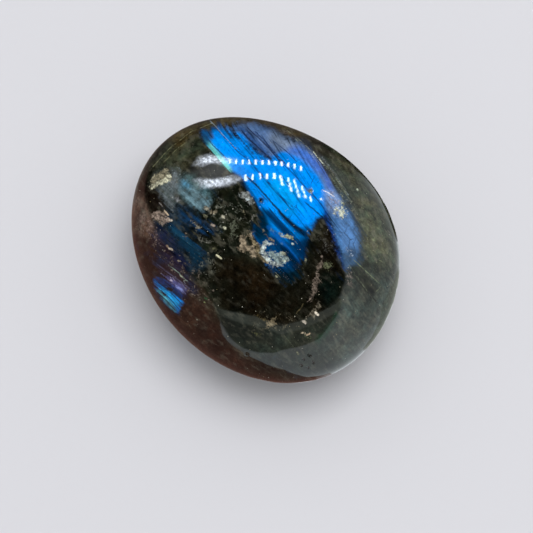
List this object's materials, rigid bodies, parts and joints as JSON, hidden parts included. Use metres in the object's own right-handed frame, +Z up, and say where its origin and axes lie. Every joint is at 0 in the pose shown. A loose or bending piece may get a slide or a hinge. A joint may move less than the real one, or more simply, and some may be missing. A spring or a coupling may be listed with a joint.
{
  "type": "polished labradorite pebble",
  "caption": "Rounded, polished oval stone of labradorite, domed above and below, with a small flat that it rests on and a blue flash under its glassy surface.",
  "frame": {"origin": "middle of the stone's box in plan, on the surface that it rests on", "axes": "+Z up through the stone's thickness, +X along its length, +Y across its width"},
  "size_m": [0.0662, 0.0548, 0.032],
  "materials": {
    "labradorite": "polished to a glassy gloss; dark grey-green to brown-black body with sheets of azure and deep blue flash, cream inclusions and fine gold specks"
  },
  "bodies": {
    "root": {"pebble": "labradorite"}
  },
  "joints": []
}
